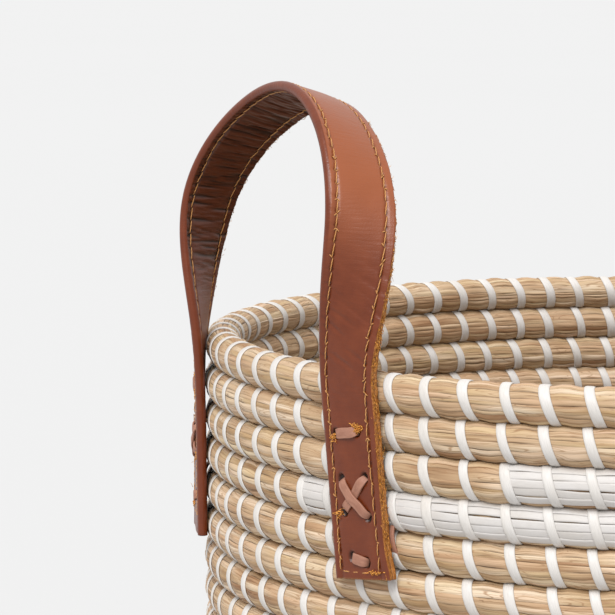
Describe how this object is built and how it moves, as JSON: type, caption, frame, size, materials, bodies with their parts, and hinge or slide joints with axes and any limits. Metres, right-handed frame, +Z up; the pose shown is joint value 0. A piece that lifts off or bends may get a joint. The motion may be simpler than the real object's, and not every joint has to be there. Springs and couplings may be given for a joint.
{
  "type": "coiled storage basket",
  "caption": "Round open basket of coiled seagrass sewn with white strip, with two folding leather strap handles laced to the wall above an open rim.",
  "frame": {"origin": "centre of the underside, on the surface the basket stands on", "axes": "+Z up, +X towards the right handle, -Y towards the front"},
  "size_m": [0.4268, 0.4268, 0.466],
  "materials": {
    "seagrass": "matt bundled straw with visible strands",
    "white_strip": "flat woven-look plastic strip, satin",
    "leather": "smooth tan leather, soft sheen, edges raw on one side",
    "thong": "flat matt leather thong",
    "thread": "waxed golden-tan sewing thread",
    "leather_edge": "raw cut leather edge, fibrous"
  },
  "bodies": {
    "basket": {"base_centre_knot": "seagrass", "base_turn_01": "seagrass", "base_turn_02": "seagrass", "base_turn_03": "seagrass", "base_turn_04": "seagrass", "base_turn_05": "seagrass", "base_turn_06": "seagrass", "base_turn_07": "seagrass", "base_turn_08": "seagrass", "base_turn_09": "seagrass", "base_turn_10": "seagrass", "base_turn_11": "seagrass", "base_turn_12": "seagrass", "wall_turn_01": "seagrass", "wall_turn_02": "seagrass", "wall_turn_03": "seagrass", "wall_turn_04": "seagrass", "wall_turn_05": "seagrass", "wall_turn_06": "seagrass", "wall_turn_07": "seagrass", "wall_turn_08": "seagrass", "wall_turn_09": "seagrass", "wall_turn_10": "seagrass", "wall_turn_11": "seagrass", "wall_turn_12": "seagrass", "wall_turn_13": "seagrass", "wall_turn_14": "seagrass", "wall_turn_15": "seagrass", "wall_turn_16": "seagrass", "wall_turn_17": "seagrass", "wall_turn_18": "seagrass", "wall_turn_19": "seagrass", "wall_turn_20": "seagrass", "wall_turn_21": "seagrass", "rim_turn": "seagrass", "rim_stitches": "white_strip", "front_upper_white_band": "white_strip", "front_lower_white_band": "white_strip", "back_upper_white_band": "white_strip", "back_lower_white_band": "white_strip", "left_handle_front_leg": "leather", "left_front_top_lace": "thong", "left_front_cross_lace": "thong", "left_front_bottom_lace": "thong", "left_handle_back_leg": "leather", "left_back_top_lace": "thong", "left_back_cross_lace": "thong", "left_back_bottom_lace": "thong", "right_handle_front_leg": "leather", "right_front_top_lace": "thong", "right_front_cross_lace": "thong", "right_front_bottom_lace": "thong", "right_handle_back_leg": "leather", "right_back_top_lace": "thong", "right_back_cross_lace": "thong", "right_back_bottom_lace": "thong"},
    "left_handle": {"left_handle_arch": "leather"},
    "right_handle": {"right_handle_arch": "leather"}
  },
  "joints": [
    {"name": "left_handle_fold", "type": "hinge", "parent": "basket", "child": "left_handle", "pos_m": [-0.2116, 0, 0.35235], "axis": [0, -1, 0], "range_deg": [-30, 110]},
    {"name": "right_handle_fold", "type": "hinge", "parent": "basket", "child": "right_handle", "pos_m": [0.2116, 0, 0.35235], "axis": [0, 1, 0], "range_deg": [-30, 110]}
  ]
}
